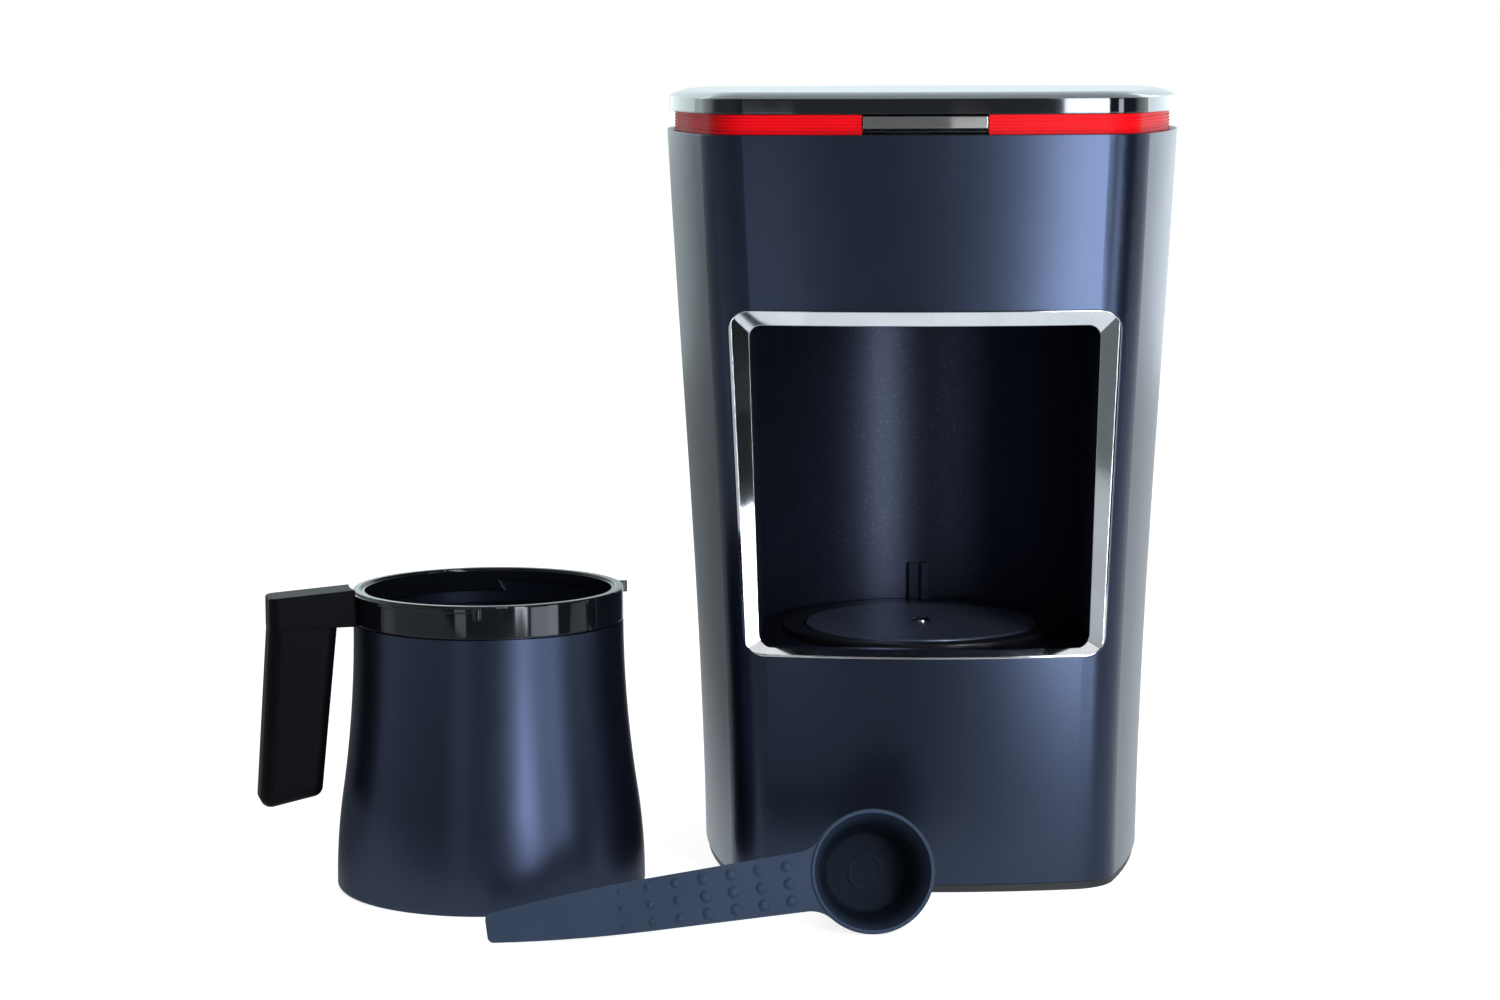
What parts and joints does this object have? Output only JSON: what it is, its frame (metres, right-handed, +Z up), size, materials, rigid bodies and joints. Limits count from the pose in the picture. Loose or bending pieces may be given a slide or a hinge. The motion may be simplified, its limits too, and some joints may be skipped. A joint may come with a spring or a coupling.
{
  "type": "electric turkish coffee maker",
  "caption": "Tapered Turkish coffee machine with an open brewing bay, sprung hot plate sensor and push bar, with its handled coffee pot and measuring scoop.",
  "frame": {"origin": "on the counter, under the centre of the machine's hot plate; the machine, its pot and its scoop stand as they rest on the counter", "axes": "+X to the right and +Y to the back, both seen by someone facing the bay; +Z up, out of the hot plate"},
  "size_m": [0.3024, 0.2208, 0.2583],
  "materials": {
    "body_plastic": "satin anthracite",
    "chrome": "polished",
    "bay_plastic": "fine texture",
    "bay_gloss": "gloss black",
    "sensor_window": "dark smoked window",
    "electronics": "moulded",
    "ring_plastic": "satin black",
    "plate_coating": "non-stick coated, semi gloss",
    "element_steel": "heat darkened",
    "shield_metal": "pressed sheet",
    "steel": "bright",
    "red_plastic": "gloss",
    "lid_gloss": "high gloss black",
    "base_plastic": "matt black",
    "foot_rubber": "matt",
    "circuit_board": "solder mask",
    "terminal_plastic": "moulded",
    "wire_rubber": "sleeved",
    "pot_coating": "satin non-stick coating",
    "collar_gloss": "gloss black",
    "handle_plastic": "matt black",
    "scoop_plastic": "matt dark blue grey"
  },
  "bodies": {
    "machine": {"outer_housing": "body_plastic", "rear_cover": "body_plastic", "window_frame": "chrome", "bay_wall": "bay_plastic", "bay_floor": "bay_gloss", "bay_ceiling": "bay_plastic", "foam_sensor_lens": "sensor_window", "foam_sensor": "electronics", "plate_ring": "ring_plastic", "hot_plate": "plate_coating", "heating_element": "element_steel", "heat_shield": "shield_metal", "sensor_guide": "shield_metal", "sensor_spring": "steel", "thermostat": "electronics", "thermal_fuse": "steel", "top_frame": "body_plastic", "red_band": "red_plastic", "lid": "lid_gloss", "frame_screws": "steel", "micro_switch": "electronics", "button_springs": "steel", "control_board": "circuit_board", "buzzer": "electronics", "base_plate": "base_plastic", "base_screws": "steel", "floor_screws": "steel", "foot_front_left": "foot_rubber", "foot_front_right": "foot_rubber", "foot_rear_left": "foot_rubber", "foot_rear_right": "foot_rubber", "power_board": "circuit_board", "relay": "electronics", "terminal_block": "terminal_plastic", "wire_harness": "wire_rubber", "cord_gland": "base_plastic"},
    "button": {"power_button": "chrome", "switch_plunger": "red_plastic"},
    "sensor": {"sensor_pin": "steel"},
    "pot": {"pot_body": "pot_coating", "pot_collar": "collar_gloss", "pour_skirt": "collar_gloss", "handle_arm": "handle_plastic", "handle_grip": "handle_plastic", "handle_screw": "steel"},
    "scoop": {"measuring_scoop": "scoop_plastic"}
  },
  "joints": [
    {"name": "power_button_press", "type": "slide", "parent": "machine", "child": "button", "axis": [0, 1, 0], "range_m": [0, 0.0015], "stiffness_N_per_m": 900, "springref_m": -0.0008, "deforming": ["button_springs"]},
    {"name": "sensor_pin_press", "type": "slide", "parent": "machine", "child": "sensor", "axis": [0, 0, -1], "range_m": [0, 0.0012], "stiffness_N_per_m": 500, "springref_m": -0.001, "deforming": ["sensor_spring"]},
    {"name": "pot_lift", "type": "slide", "parent": "machine", "child": "pot", "axis": [0, 0, 1], "range_m": [0, 0.12]},
    {"name": "scoop_lift", "type": "slide", "parent": "machine", "child": "scoop", "axis": [0, 0, 1], "range_m": [0, 0.08]}
  ]
}
